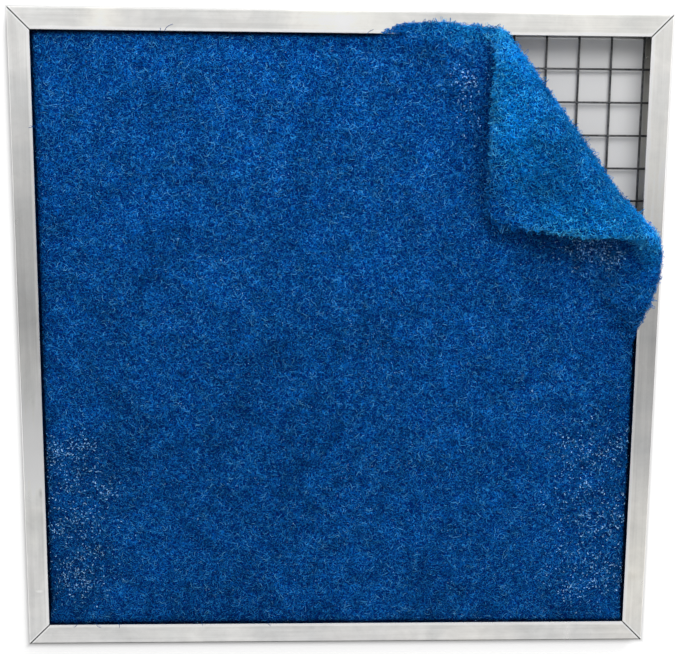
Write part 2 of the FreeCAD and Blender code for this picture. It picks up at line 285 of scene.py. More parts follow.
def aluminium(name, axis, tone):
    """Satin sheet: fine lines along one axis, faint bands across it, soft stains and scuffs,
    painted reflections along the rails, and painted highlights and shade at its edges.
    """
    shader = Shader(name)
    fine, drawn, cross = (shader.scaled_along(axis, *scales)
                          for scales in (FINE_LINES, DRAWN_LINES, CROSS_BANDS))
    lines = shader.noise(1.0, detail=4.0, roughness=0.65, vector=fine)
    drawn = shader.noise(1.0, detail=2.0, roughness=0.5, vector=drawn)
    bands = shader.noise(1.0, detail=2.5, roughness=0.6, vector=cross)
    stains = shader.noise(STAIN_SCALE, detail=4.0, roughness=0.55, distortion=1.2)
    scuffs = shader.noise(SCUFF_SCALE, detail=4.0, roughness=0.6, distortion=1.6)
    cool, warm = (tuple(tone * share for share in tint) for tint in (COOL_TINT, WARM_TINT))
    colour = shader.ramp(bands, ((0.34, cool), (0.62, warm)))
    colour = shader.times(colour, shader.ramp(lines, ((0.30, 0.95), (0.62, 1.0))))
    colour = shader.times(colour, shader.ramp(drawn, ((0.35, 0.94), (0.65, 1.04))))
    colour = shader.times(colour, shader.ramp(stains, ((0.22, 0.86), (0.78, 1.08))), 0.5)
    colour = shader.times(colour, shader.ramp(scuffs, ((0.22, 0.90), (0.50, 1.0))), 0.5)
    # Painted reflections along the rails, and a few small marks
    colour = shader.shaded(colour, REFLECTIONS_AND_MARKS)
    rough = shader.ramp(stains, ((0.25, 0.33), (0.75, 0.27)))
    shader.set(Base_Color=painted_rim_light(shader, colour), Metallic=1.0, Roughness=rough)
    shader.bump(lines, 0.10, 0.0003, edge=EDGE_ROUND)
    return shader.material


# Zinc of the wires
SPANGLE_SCALE = 420.0
GRIME_SCALE = 45.0
ZINC_DARK = (0.09, 0.092, 0.095)
ZINC_LIGHT = (0.20, 0.203, 0.206)


def galvanised(name):
    """Dull zinc with spangles and grime."""
    shader = Shader(name)
    spangle = shader.noise(SPANGLE_SCALE, detail=4.0, roughness=0.6)
    grime = shader.noise(GRIME_SCALE, detail=4.0, roughness=0.6)
    colour = shader.ramp(spangle, ((0.35, ZINC_DARK), (0.6, ZINC_LIGHT)))
    colour = shader.times(colour, shader.ramp(grime, ((0.4, 0.45), (0.6, 1.0))), 0.6)
    rough = shader.ramp(grime, ((0.35, 0.62), (0.65, 0.46)))
    shader.set(Base_Color=colour, Metallic=0.9, Roughness=rough)
    shader.bump(spangle, 0.35, 0.0002)
    return shader.material


# Blues of the pad, with pale specks of painted light, and the places where it is worn thin, where
# more specks and a painted shade show: centre, radius on the plan and strength
CORE_DARK = (0.0002, 0.018, 0.135)
CORE_MIDDLE = (0.001, 0.096, 0.420)
CORE_LIGHT = (0.018, 0.230, 0.600)
SPECK = (0.30, 0.58, 0.98)
THIN_PLACES = (
    ((-0.226, -0.093, 0.017), 0.015, 1.0), ((-0.206, -0.089, 0.017), 0.019, 1.0),
    ((-0.187, -0.120, 0.017), 0.016, 0.7), ((-0.225, -0.154, 0.017), 0.013, 1.0),
    ((-0.194, -0.172, 0.017), 0.015, 0.7), ((-0.212, -0.193, 0.017), 0.024, 1.0),
    ((0.225, -0.086, 0.017), 0.018, 0.8), ((0.218, -0.150, 0.017), 0.022, 0.7),
    ((0.198, -0.147, 0.017), 0.014, 0.7), ((0.216, -0.195, 0.017), 0.026, 0.6),
    ((0.186, -0.085, 0.017), 0.020, 0.5), ((0.192, -0.208, 0.017), 0.018, 0.5),
    ((0.103, 0.198, 0.026), 0.026, 0.6), ((0.191, 0.077, 0.024), 0.017, 1.6),
    ((0.208, 0.070, 0.025), 0.017, 1.6), ((-0.214, -0.105, 0.017), 0.040, 0.40),
    ((-0.210, -0.150, 0.017), 0.040, 0.35), ((-0.208, -0.190, 0.017), 0.040, 0.35),
    ((0.206, -0.095, 0.017), 0.045, 0.30), ((0.204, -0.140, 0.017), 0.045, 0.32),
    ((0.202, -0.188, 0.017), 0.045, 0.30), ((0.112, 0.178, 0.026), 0.034, 0.35),
    ((0.185, 0.076, 0.024), 0.030, 0.40),
)
THIN_HEIGHT = 0.016

# Painted highlights and painted shade on strips of the fold: centre, reach on each axis and shade
FLAP_LIGHT_AND_SHADE = (
    ((0.122, 0.165, 0.050), (0.028, 0.120, 0.024), (1.05, 1.40, 1.30)),
    ((0.168, 0.094, 0.050), (0.095, 0.024, 0.026), (1.04, 1.70, 1.66)),
    ((0.238, 0.062, 0.042), (0.026, 0.055, 0.026), (1.20, 1.62, 1.54)),
    ((0.092, 0.238, 0.034), (0.060, 0.016, 0.022), (1.60, 1.75, 1.28)),
    ((0.208, 0.110, 0.050), (0.028, 0.028, 0.030), (1.00, 0.86, 0.80)),
)

# Shades of the pad: small and broad clumps, painted light that grows towards the top edge, lighter
# with height on the raised back face of the fold, and painted shade towards the lips where the pad
# lies in the frame. Heights are shares of the first one.
BACK_FACE_HEIGHT = 0.045
SMALL_CLUMP_SCALE = 75.0
BROAD_CLUMP_SCALE = 17.0
SMALL_CLUMPS = ((0.31, 0.74), (0.68, 1.22))
BROAD_CLUMPS = ((0.33, 0.87), (0.67, 1.11))
PAINTED_LIGHT_TO_TOP = ((0.45, 0.98), (0.92, 1.20))
RAISED = ((0.78, 1.0), (1.0, (1.36, 1.40, 1.16)))
IN_FRAME = ((0.40, 1.0), (0.46, 0.0))
LIP_SHADE = ((INNER_EDGE - 0.060, 1.0), (INNER_EDGE - 0.006, 0.84), (INNER_EDGE - 0.001, 0.16))

# Threads painted on the core as scale and shift, its grain, and the streaks on the loose fibres
DEEP_THREADS = (330.0, (3.0, 1.0, 0.0))
LIGHT_THREADS = (410.0, (0.0, 7.0, 2.0))
GRAIN_SCALE = 820.0
STREAK_SCALE = 900.0


def clumps_and_painted_light(shader, colour):
    """Soft clumps, painted light towards the top edge, lighter with height on the fold, painted
    highlights and shade on the fold's strips, and painted shade beside the lips, the same on the
    core and on the loose fibres.
    """
    _, y, z = shader.axes()
    small = shader.noise(SMALL_CLUMP_SCALE, detail=3.0, roughness=0.6)
    broad = shader.noise(BROAD_CLUMP_SCALE, detail=2.0)
    # Painted light: lighter towards the top edge
    upward = shader.math("ADD", shader.math("MULTIPLY", y, 2.0), 0.5)
    height = shader.math("MULTIPLY", z, 1.0 / BACK_FACE_HEIGHT)
    for factor, stops in ((small, SMALL_CLUMPS), (broad, BROAD_CLUMPS), (upward, PAINTED_LIGHT_TO_TOP),
                          (height, RAISED)):
        colour = shader.times(colour, shader.ramp(factor, stops))
    # Painted highlights and shade on strips of the fold
    colour = shader.shaded(colour, FLAP_LIGHT_AND_SHADE)
    # Painted shade beside the lips, only where the pad lies in the frame
    beside = shader.ramp(shader.from_middle(), LIP_SHADE)
    return shader.times(colour, beside, shader.ramp(height, IN_FRAME))


def thin_share(shader):
    """How far the pad is worn thin, by the strongest of the thin places."""
    thin = 0.0
    for centre, radius, strength in THIN_PLACES:
        spot = shader.patch(centre, (radius, radius, THIN_HEIGHT))
        thin = shader.math("MAXIMUM", thin, shader.math("MULTIPLY", spot, strength))
    return thin


def pad_core(name):
    """The pad between its loose fibres: a deep blue tangle, pale specks of painted light, more
    where it is thin, and painted shade where it is thin.
    """
    shader = Shader(name)
    colour = shader.mix(shader.strands(*DEEP_THREADS, 0.055), CORE_DARK, CORE_MIDDLE)
    colour = shader.mix(shader.strands(*LIGHT_THREADS, 0.040), colour, CORE_LIGHT)
    colour = clumps_and_painted_light(shader, colour)
    thin = thin_share(shader)
    # Painted shade where the pad is thin
    colour = shader.times(colour, shader.ramp(thin, ((0.0, 1.0), (0.5, 0.86))))
    # Pale specks of painted light, more of them where the pad is thin
    grain = shader.noise(GRAIN_SCALE, detail=1.0, roughness=0.5)
    speck = shader.math("ADD", grain, shader.math("MULTIPLY", thin, 0.06))
    colour = shader.mix(shader.ramp(speck, ((0.75, 0.0), (0.77, 1.0))), colour, SPECK)
    shader.set(Base_Color=colour, Roughness=0.7, Specular_IOR_Level=0.02)
    shader.bump(shader.strands(*DEEP_THREADS, 0.08), 0.8, 0.0008)
    return shader.material


def fibre(name):
    """Loose curls: each one has its own tone, held in a colour attribute."""
    shader = Shader(name)
    tone = shader.nodes.new("ShaderNodeVertexColor")
    tone.layer_name = "tone"
    streak = shader.ramp(shader.noise(STREAK_SCALE, detail=2.0), ((0.35, 0.55), (0.65, 1.0)))
    colour = clumps_and_painted_light(shader, shader.times(tone.outputs["Color"], streak, 0.3))
    shader.set(Base_Color=colour, Roughness=0.45, Specular_IOR_Level=0.04)
    return shader.material


def paint(node_name, material):
    mesh = nodes[node_name].data
    if not mesh.materials:
        mesh.materials.append(material)
    for index in range(len(mesh.materials)):
        mesh.materials[index] = material


across_metal = aluminium("frame_aluminium_across", 0, 0.90)
upright_metal = aluminium("frame_aluminium_upright", 1, 0.90)
# The corner keys' metal is painted darker than the frame, as painted shade seen through the open
# mitres
shaded_key_metal = aluminium("key_aluminium_bar", 2, 0.40)
wire_metal = galvanised("grid_wire_galvanised")
core = pad_core("pad_fibre_core")
curls = fibre("pad_fibre_curls")

for name in nodes:
    if name in ("rail_top", "rail_bottom"):
        paint(name, across_metal)
    elif name in ("rail_left", "rail_right"):
        paint(name, upright_metal)
    elif name.startswith("corner_key"):
        paint(name, shaded_key_metal)
    elif name.startswith("wire_"):
        paint(name, wire_metal)


def add_object(name, data):
    piece = bpy.data.objects.new(name, data)
    bpy.context.scene.collection.objects.link(piece)
    return piece


def add_mesh(name, vertices, faces, material):
    mesh = bpy.data.meshes.new(name)
    mesh.from_pydata(vertices, [], faces)
    mesh.materials.append(material)
    return add_object(name, mesh)


# Pad: the solid, remeshed, softened and pulled slightly uneven by waves of an amount, a scale and
# a shift, and sunk a little
VOXEL = 0.0028
SWELLS = ((0.00055, 120.0, 0.4), (0.00035, 330.0, 1.9))
SINK = 0.0002
BACK_SKIN = 0.001
BACK_NORMAL = -0.5

# The gutter beside the lips in the part of the pad that lies flat, shallower on the low side
GUTTER_WIDTH = 0.0022
GUTTER_DEPTH = 0.0038
GUTTER_LOW_CUT = 0.65
LOW_SIDE_FADE = 0.02
PLATE_BELOW, PLATE_ABOVE = 0.003, 0.0012

# How far the lifted top edge bulges out over the top lip: place along X and bulge
BULGE = ((0.030, 0.0), (0.042, 0.0018), (0.050, 0.0027), (0.060, 0.0033), (0.072, 0.0040),
         (0.087, 0.0038), (0.102, 0.0018), (0.114, 0.0))
BULGE_START = INNER - 0.008
BULGE_FADE = 0.010

# The end and the corner of the fold are drawn up and out a little: middle on the plan, reach and
# shift, from a height on
FOLD_SHIFTS = (
    ((0.219, 0.079), 0.023, (0.0012, 0.0056)),
    ((0.236, 0.086), 0.013, (0.0022, 0.0010)),
)
FOLD_HEIGHT = 0.033
FOLD_FADE = 0.009

# The slots that the two lips press into the lifted part
SLOT_ROOM = 0.0004
SLOT_REACH = PAD_HALF + 0.02
BOX_FACES = ((0, 1, 3, 2), (4, 6, 7, 5), (0, 4, 5, 1), (2, 3, 7, 6), (0, 2, 6, 4), (1, 5, 7, 3))


def settle(piece):
    """Puts the result of a piece's modifiers in place of its mesh."""
    depsgraph = bpy.context.evaluated_depsgraph_get()
    mesh = bpy.data.meshes.new_from_object(piece.evaluated_get(depsgraph))
    piece.modifiers.clear()
    piece.data = mesh


def smooth_step(share):
    """0 to 1 with a level start and end."""
    return share * share * (3.0 - 2.0 * share)


def wave(points, scale, shift):
    """A smooth random field made of a few sine waves."""
    x, y, z = (points * scale).T
    return (np.sin(x + 1.3 * np.sin(y * 0.7 + shift))
            + np.sin(y * 1.1 + 1.7 * np.sin(x * 0.6 - shift))
            + np.sin(0.8 * (x + y) + z + 2.0 * shift)) / 3.0


def out_on_plan(points):
    """How far out points are on the plan, on X or Y, whichever is more."""
    return np.abs(points[..., :2]).max(axis=-1)


def vertices_of(mesh):
    points = np.empty(len(mesh.vertices) * 3)
    mesh.vertices.foreach_get("co", points)
    return points.reshape(-1, 3)


def normals_of(mesh):
    normals = np.empty(len(mesh.vertices) * 3)
    mesh.vertices.foreach_get("normal", normals)
    return normals.reshape(-1, 3)


def remeshed_pad():
    """A copy of the pad's solid with even, rounded faces."""
    mesh = nodes["media_pad"].data.copy()
    piece = add_object("media_pad_body", mesh)
    work = bmesh.new()
    work.from_mesh(mesh)
    bmesh.ops.remove_doubles(work, verts=work.verts, dist=1e-6)
    work.to_mesh(mesh)
    work.free()
    remesh = piece.modifiers.new("remesh", "REMESH")
    remesh.mode = "VOXEL"
    remesh.voxel_size = VOXEL
    smooth = piece.modifiers.new("smooth", "CORRECTIVE_SMOOTH")
    smooth.factor = 0.5
    smooth.iterations = 3
    smooth.use_only_smooth = True
    settle(piece)
    return piece


def shape_pad(mesh):
    """Swells, gutter, bulge over the top lip and drawn end of the fold."""
    points = vertices_of(mesh)
    normals = normals_of(mesh)
    swell = sum(amount * wave(points, scale, shift) for amount, scale, shift in SWELLS) - SINK
    at_back = (normals[:, 2] < BACK_NORMAL) & (points[:, 2] < PAD_BACK + BACK_SKIN)
    swell[at_back] = -np.abs(swell[at_back])
    points += normals * swell[:, None]

    gutter = np.clip((out_on_plan(points) - INNER + GUTTER_WIDTH) / GUTTER_WIDTH, 0.0, 1.0)
    below = -points[:, 1] - np.abs(points[:, 0])
    gutter *= 1.0 - GUTTER_LOW_CUT * np.clip(below / LOW_SIDE_FADE + 1.0, 0.0, 1.0)
    on_plate = points[:, 2] > PAD_FRONT - PLATE_BELOW
    on_plate &= points[:, 2] < PAD_FRONT + PLATE_ABOVE
    points[on_plate, 2] -= GUTTER_DEPTH * smooth_step(gutter)[on_plate]

    over_lip = (points[:, 2] > FRONT + SLOT_ROOM) & (points[:, 1] > BULGE_START)
    share = np.clip((points[:, 1] - BULGE_START) / BULGE_FADE, 0.0, 1.0)
    bulge = np.interp(points[:, 0], *zip(*BULGE)) * smooth_step(share)
    points[over_lip, 1] += bulge[over_lip]

    raised = np.clip((points[:, 2] - FOLD_HEIGHT) / FOLD_FADE, 0.0, 1.0)
    for middle, reach, shift in FOLD_SHIFTS:
        away = np.linalg.norm(points[:, :2] - middle, axis=1)
        points[:, :2] += (raised * np.exp(-(away / reach) ** 2))[:, None] * shift
    mesh.vertices.foreach_set("co", points.ravel())
    mesh.update()


def slot_box(name, low):
    """A box from a low corner on the plan out past the pad, as high as a lip with its room."""
    low = (*low, FRONT - LIP - SLOT_ROOM)
    high = (SLOT_REACH, SLOT_REACH, FRONT + SLOT_ROOM)
    corners = [(x, y, z) for x in (low[0], high[0]) for y in (low[1], high[1])
               for z in (low[2], high[2])]
    return add_mesh(name, corners, BOX_FACES, core)


def make_pad():
    piece = remeshed_pad()
    shape_pad(piece.data)
    cutters = [slot_box("slot_top", (-SLOT_REACH, INNER - SLOT_ROOM)),
               slot_box("slot_side", (INNER - SLOT_ROOM, -SLOT_REACH))]
    for cutter in cutters:
        cut = piece.modifiers.new("slot", "BOOLEAN")
        cut.operation = "DIFFERENCE"
        cut.solver = "EXACT"
        cut.object = cutter
    settle(piece)
    for cutter in cutters:
        bpy.data.objects.remove(cutter)
    piece.data.materials.clear()
    piece.data.materials.append(core)
    piece.data.shade_smooth()
    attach(piece, "root")
    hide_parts("media_pad")
    return piece


pad = make_pad()

# Loose fibres: short curls that lie on and stand a little out of the pad
PIECES = 6
CURL_POINTS = 4
SIDES = 3
END_GIRTH = 0.55
CURL_ROOT = 0.00015
CURL_TURN = (0.9, 3.4)
CURL_WOBBLE = 0.45
CURL_RADIUS = (0.00014, 0.00026)

# Room that the curls leave at the metal and at the floor, and the bare dark line along the lips
METAL_ROOM = 0.0005
FLOOR_ROOM = 0.0006
DARK_LINE = 0.0008

# The fold as the curls see it: its start, its flap's underside and the flap's outline on the plan
FOLD_START = PAD_FRONT + 0.0035
FLAP_FLOOR = 0.0345
FLAP_PLAN = ((0.099, 0.236), (0.112, 0.093), (0.216, 0.084), (0.243, 0.040))
FLAP_EDGES = (((0.104, 0.236), (0.110, 0.096)), ((0.110, 0.094), (0.226, 0.078)))
FOLD_DENSITY = 1.5
COVERED_DENSITY = 0.2

# A surface faces sideways or back where the Z of its normal is below these
SIDEWAYS, BACKWARD = -0.2, -0.6
BACK_OVER_LIP = 0.002


def inside(points, corners):
    """Which points lie inside a polygon on the plan."""
    x, y = points[:, 0], points[:, 1]
    found = np.zeros(len(points), dtype=bool)
    for (x0, y0), (x1, y1) in zip(corners, corners[1:] + corners[:1]):
        crossed = (y0 > y) != (y1 > y)
        found ^= crossed & (x < (x1 - x0) * (y - y0) / (y1 - y0 + 1e-12) + x0)
    return found


def surface_samples(count, weigh):
    """Random points on the pad with their normals. weigh(points, normals) gives their density."""
    mesh = pad.data
    mesh.calc_loop_triangles()
    corners = np.empty(len(mesh.loop_triangles) * 3, dtype=np.int32)
    mesh.loop_triangles.foreach_get("vertices", corners)
    corners = corners.reshape(-1, 3)
    points = vertices_of(mesh)
    a, b, c = (points[corners[:, k]] for k in range(3))
    cross = np.cross(b - a, c - a)
    area = np.linalg.norm(cross, axis=1)
    normal = cross / np.maximum(area, 1e-12)[:, None]
    chance = area * weigh((a + b + c) / 3.0, normal)
    picked = rng.choice(len(area), size=count, p=chance / chance.sum())
    s = rng.random((count, 1))
    t = rng.random((count, 1))
    over = (s + t) > 1.0
    s = np.where(over, 1.0 - s, s)
    t = np.where(over, 1.0 - t, t)
    spot = a[picked] + s * (b - a)[picked] + t * (c - a)[picked]
    vertex_normal = normals_of(mesh)
    at_a, at_b, at_c = (vertex_normal[corners[picked, k]] for k in range(3))
    blended = (1.0 - s - t) * at_a + s * at_b
    blended += t * at_c
    blended /= np.maximum(np.linalg.norm(blended, axis=1), 1e-9)[:, None]
    return spot, blended


def front_weight(points, normals):
    under_lip = (out_on_plan(points) > INNER - DARK_LINE) & (points[:, 2] < FRONT)
    weight = np.where(points[:, 2] > FOLD_START, FOLD_DENSITY, 1.0)
    weight[inside(points, FLAP_PLAN) & (points[:, 2] < FLAP_FLOOR)] = COVERED_DENSITY
    weight[under_lip | (normals[:, 2] < SIDEWAYS)] = 0.0
    return weight


def edge_weight(points, normals):
    weight = np.clip(1.0 - np.abs(normals[:, 2]), 0.0, 0.7)
    weight[(normals[:, 2] < BACKWARD) | (points[:, 2] < FOLD_START)] = 0.0
    return weight


def back_weight(points, normals):
    shown = out_on_plan(points) <= INNER + BACK_OVER_LIP
    return np.where((normals[:, 2] < BACKWARD) & shown & (points[:, 2] < PAD_FRONT), 1.0, 0.0)


# Groups of curls: number, where they grow, rise, shortest and longest curl, middle tone and spread
CURL_GROUPS = (
    (30200, front_weight, 0.0007, (0.0038, 0.0074), 0.50, 0.30),
    (8500, edge_weight, 0.0016, (0.0030, 0.0058), 0.53, 0.26),
    (1500, back_weight, 0.0004, (0.0035, 0.0065), 0.46, 0.24),
)


def grow_curls(spots, normals, lift, reach):
    """Centre lines of the curls, one row of points each. Their ends sit just inside the pad."""
    count = len(spots)
    helper = np.where(np.abs(normals[:, 2:3]) < 0.9, [[0.0, 0.0, 1.0]], [[1.0, 0.0, 0.0]])
    first = np.cross(normals, helper)
    first /= np.linalg.norm(first, axis=1)[:, None]
    second = np.cross(normals, first)
    length = rng.uniform(*reach, count)
    angle = rng.uniform(0.0, 2.0 * math.pi, count)
    turn = rng.choice([-1.0, 1.0], count) * rng.uniform(*CURL_TURN, count) / (CURL_POINTS - 1)
    wobble = rng.normal(0.0, CURL_WOBBLE, (CURL_POINTS, count))
    height = lift * rng.gamma(2.0, 0.5, count)
    skew = rng.uniform(-0.5, 0.5, count)
    step = (length / (CURL_POINTS - 1))[:, None]
    place = np.zeros((count, 2))
    track = []
    for sway in wobble:
        track.append(place)
        place = place + step * np.stack([np.cos(angle), np.sin(angle)], axis=1)
        angle = angle + turn + sway
    track = np.array(track)
    track -= track.mean(axis=0)
    line = np.zeros((count, CURL_POINTS, 3))
    for i, s in enumerate(np.linspace(-0.5, 0.5, CURL_POINTS)):
        rise = height * (1.0 - (2.0 * s) ** 2 + skew * s) - CURL_ROOT
        line[:, i] = (spots + first * track[i, :, 0:1] + second * track[i, :, 1:2]
                      + normals * rise[:, None])
    return line


def clear_of_metal(line):
    """Which curls stay out of the lips, the webs, the wires and the floor."""
    z = line[..., 2]
    out = out_on_plan(line)
    in_lip = (out > INNER - METAL_ROOM) & (z > FRONT - LIP - METAL_ROOM) & (z < FRONT + METAL_ROOM)
    in_gutter = (out > INNER - DARK_LINE + METAL_ROOM) & (z < FRONT)
    near_wire = np.zeros(z.shape, dtype=bool)
    for name in nodes:
        if name.startswith("wire_"):
            low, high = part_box(name)
            axis = 1 if name.startswith("wire_level") else 0
            value = line[..., axis]
            near_wire |= (value > low[axis] - METAL_ROOM) & (value < high[axis] + METAL_ROOM)
    in_wire = (z < PAD_BACK + METAL_ROOM) & near_wire
    return ~(in_lip | in_gutter | in_wire | (z < FLOOR_ROOM)).any(axis=1)


def tube_faces(count, steps):
    """Side quads and end caps of closed tubes whose rings of points follow one another."""
    base = np.arange(count)[:, None, None] * (steps * SIDES)
    quads = []
    for i in range(steps - 1):
        for k in range(SIDES):
            here, there = i * SIDES + k, i * SIDES + (k + 1) % SIDES
            quads.append((here, there, there + SIDES, here + SIDES))
    end = (steps - 1) * SIDES
    caps = ((2, 1, 0), (end, end + 1, end + 2))
    return (base + np.array(quads)).reshape(-1, 4), (base + np.array(caps)).reshape(-1, 3)


def tube_mesh(name, line, radius, colour):
    """Closed thin tubes along rows of points, as one mesh with a colour attribute."""
    count, steps = line.shape[:2]
    ahead = np.empty_like(line)
    ahead[:, 1:-1] = line[:, 2:] - line[:, :-2]
    ahead[:, 0] = line[:, 1] - line[:, 0]
    ahead[:, -1] = line[:, -1] - line[:, -2]
    ahead /= np.maximum(np.linalg.norm(ahead, axis=2), 1e-9)[..., None]
    side = np.cross(ahead, [[[0.12, 0.31, 0.94]]])
    side /= np.maximum(np.linalg.norm(side, axis=2), 1e-9)[..., None]
    other = np.cross(ahead, side)
    taper = np.array([END_GIRTH] + [1.0] * (steps - 2) + [END_GIRTH])
    size = radius[:, None] * taper[None, :]
    rings = []
    for k in range(SIDES):
        angle = 2.0 * math.pi * k / SIDES
        rings.append(line + (side * math.cos(angle) + other * math.sin(angle)) * size[..., None])
    points = np.stack(rings, axis=2).reshape(-1, 3)
    quads, caps = tube_faces(count, steps)
    mesh = bpy.data.meshes.new(name)
    mesh.vertices.add(len(points))
    mesh.vertices.foreach_set("co", points.ravel())
    loops = np.concatenate([quads.ravel(), caps.ravel()]).astype(np.int32)
    mesh.loops.add(len(loops))
    mesh.loops.foreach_set("vertex_index", loops)
    cap_starts = len(quads) * 4 + np.arange(len(caps)) * 3
    starts = np.concatenate([np.arange(len(quads)) * 4, cap_starts])
    mesh.polygons.add(len(starts))
    mesh.polygons.foreach_set("loop_start", starts.astype(np.int32))
    mesh.update(calc_edges=True)
    mesh.validate()
    mesh.shade_smooth()
    layer = mesh.color_attributes.new("tone", "FLOAT_COLOR", "POINT")
    shades = np.repeat(colour, steps * SIDES, axis=0)
    shades = np.concatenate([shades, np.ones((len(shades), 1))], axis=1)
    layer.data.foreach_set("color", shades.astype(np.float32).ravel())
    mesh.materials.append(curls)
    piece = add_object(name, mesh)
    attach(piece, "root")
    return piece


# Tones of the curls
DARK = np.array([0.0002, 0.026, 0.180])
MIDDLE = np.array([0.0006, 0.147, 0.540])
LIGHT = np.array([0.095, 0.405, 0.790])
LIGHT_CURVE = np.array([2.2, 1.4, 1.3])
# Light blue to almost white: the pale dots of painted light
PAINTED_LIGHT_BLUE = np.array([0.060, 0.320, 0.760])
PALE = np.array([0.50, 0.86, 1.28])

# How much they vary from place to place, in waves of a scale and a shift, and how much on the fold;
# how much lighter they are along the flap's edges, a painted highlight, and how much darker where
# the pad is thin, a painted shade
TONE_WAVE = 0.06
TONE_FIELD = (55.0, 0.8)
RAISED_SPREAD = 0.62
PAINTED_EDGE_LIGHT = 0.26
EDGE_LIGHT_WIDTH = 0.022
THIN_SHADE = 0.16

# Share of the curls that are pale dots of painted light, everywhere and where the pad is thin, and
# how uneven that is
PALE_SHARE = 0.0003
PALE_SHARE_THIN = 0.28
THIN_LEVEL, THIN_WAVE = 0.62, 0.38
THIN_FIELD = (420.0, 2.2)

# Pale curls are drawn in to short dots of painted light: share of a curl's length, girth and rise
# out of the pad
SPECK_LENGTH = 0.40
SPECK_GIRTH = 1.8
SPECK_RISE = 0.0009

# The same where they stand close together: number, rise, shortest and longest one, and radius
SPECKS = 1600
SPECK_LIFT = 0.0004
SPECK_REACH = (0.0009, 0.0022)
SPECK_RADIUS = (0.00022, 0.00042)

# Where the pad's top edge starts to climb over the lip: the loose tuft's outline on the plan, the
# number of its curls, how far along X its top rises, its heights above the lip, and its curls' own
# rise, shortest and longest one, radius, and spread and middle of their tones
TUFT_PLAN = ((0.029, 0.2345), (0.0345, 0.2380), (0.0420, 0.2412), (0.0560, 0.2425),
             (0.0560, 0.2345))
TUFT_CURLS = 340
TUFT_START = TUFT_PLAN[0][0]
TUFT_FADE = 0.020
TUFT_LOW, TUFT_RISE, TUFT_ROOM = 0.0007, 0.0022, 0.0004
TUFT_LIFT = 0.0005
TUFT_REACH = (0.0026, 0.0050)
TUFT_RADIUS = (0.00016, 0.00028)
TUFT_TONES = (0.26, 0.40)


def near_line(points, start, end, width):
    """1 on a straight line on the plan, falling to 0 at a width from it."""
    start, end = np.array(start), np.array(end)
    along = end - start
    share = np.clip(((points[:, :2] - start) @ along) / (along @ along), 0.0, 1.0)
    away = np.linalg.norm(points[:, :2] - start - share[:, None] * along, axis=1)
    return np.clip(1.0 - away / width, 0.0, 1.0)


def thinness(points):
    """How far the pad is worn thin at each point."""
    thin = np.zeros(len(points))
    for centre, radius, strength in THIN_PLACES:
        away = (points - np.array(centre)) / np.array([radius, radius, THIN_HEIGHT])
        thin = np.maximum(thin, strength * (1.0 - np.linalg.norm(away, axis=1)))
    return thin * (THIN_LEVEL + THIN_WAVE * wave(points, *THIN_FIELD))


def painted_light_tones(count):
    """Colours of the pale dots of painted light: light blue, and a few that are almost white."""
    share = rng.random((count, 1)) ** 1.6
    return PAINTED_LIGHT_BLUE + (PALE - PAINTED_LIGHT_BLUE) * share


def tones(spots, spread, base):
    """A colour for each curl, mostly middle blue, lighter along the flap's edges as a painted
    highlight, darker where the pad is thin as painted shade, and which curls are pale dots of
    painted light."""
    count = len(spots)
    pick = rng.normal(base, spread, count) + TONE_WAVE * wave(spots, *TONE_FIELD)
    raised = spots[:, 2] > FLAP_FLOOR
    pick[raised] = base + RAISED_SPREAD * (pick[raised] - base)
    # Painted highlight along the flap's edges
    for start, end in FLAP_EDGES:
        pick += PAINTED_EDGE_LIGHT * near_line(spots, start, end, EDGE_LIGHT_WIDTH) * raised
    pick = np.clip(pick, 0.0, 1.0)[:, None]
    colour = DARK + (MIDDLE - DARK) * np.clip(pick * 2.0, 0.0, 1.0)
    colour = colour + (LIGHT - MIDDLE) * np.clip(pick * 2.0 - 1.0, 0.0, 1.0) ** LIGHT_CURVE
    thin = thinness(spots)
    # Painted shade where the pad is thin
    colour *= 1.0 - THIN_SHADE * np.clip(2.0 * thin, 0.0, 1.0)[:, None]
    # Pale dots of painted light, more where the pad is thin
    pale = rng.random(count) < PALE_SHARE + PALE_SHARE_THIN * thin
    colour[pale] = painted_light_tones(int(pale.sum()))
    return colour, pale


def curl_group(count, weigh, lift, reach, base, spread):
    """The curls of one group. The pale ones are drawn in to short dots."""
    spots, normals = surface_samples(count, weigh)
    line = grow_curls(spots, normals, lift, reach)
    clear = clear_of_metal(line)
    line = line[clear]
    colour, pale = tones(spots[clear], spread, base)
    radius = rng.uniform(*CURL_RADIUS, len(line))
    middle = line[pale].mean(axis=1, keepdims=True)
    middle = middle + normals[clear][pale][:, None] * SPECK_RISE
    line[pale] = middle + (line[pale] - middle) * SPECK_LENGTH
    radius[pale] *= SPECK_GIRTH
    return line, radius, colour


def tuft():
    """Loose curls on the lip that carry the lifted edge on to where it leaves the channel."""
    low = np.array(TUFT_PLAN).min(axis=0)
    high = np.array(TUFT_PLAN).max(axis=0)
    plan = rng.uniform(low, high, (TUFT_CURLS * 3, 2))
    plan = plan[inside(plan, TUFT_PLAN)][:TUFT_CURLS]
    depth = rng.uniform(0.0, 1.0, len(plan))
    depth = depth * np.clip((plan[:, 0] - TUFT_START) / TUFT_FADE, 0.15, 1.0)
    spots = np.column_stack([plan, FRONT + TUFT_LOW + TUFT_RISE * depth])
    normals = np.tile([0.0, 0.0, 1.0], (len(spots), 1))
    line = grow_curls(spots, normals, TUFT_LIFT, TUFT_REACH)
    line[..., 2] = np.maximum(line[..., 2], FRONT + TUFT_ROOM)
    colour = tones(spots, *TUFT_TONES)[0]
    return line, rng.uniform(*TUFT_RADIUS, len(line)), colour


def thin_weight(points, normals):
    return np.where(front_weight(points, normals) > 0.3, thinness(points), 0.0)


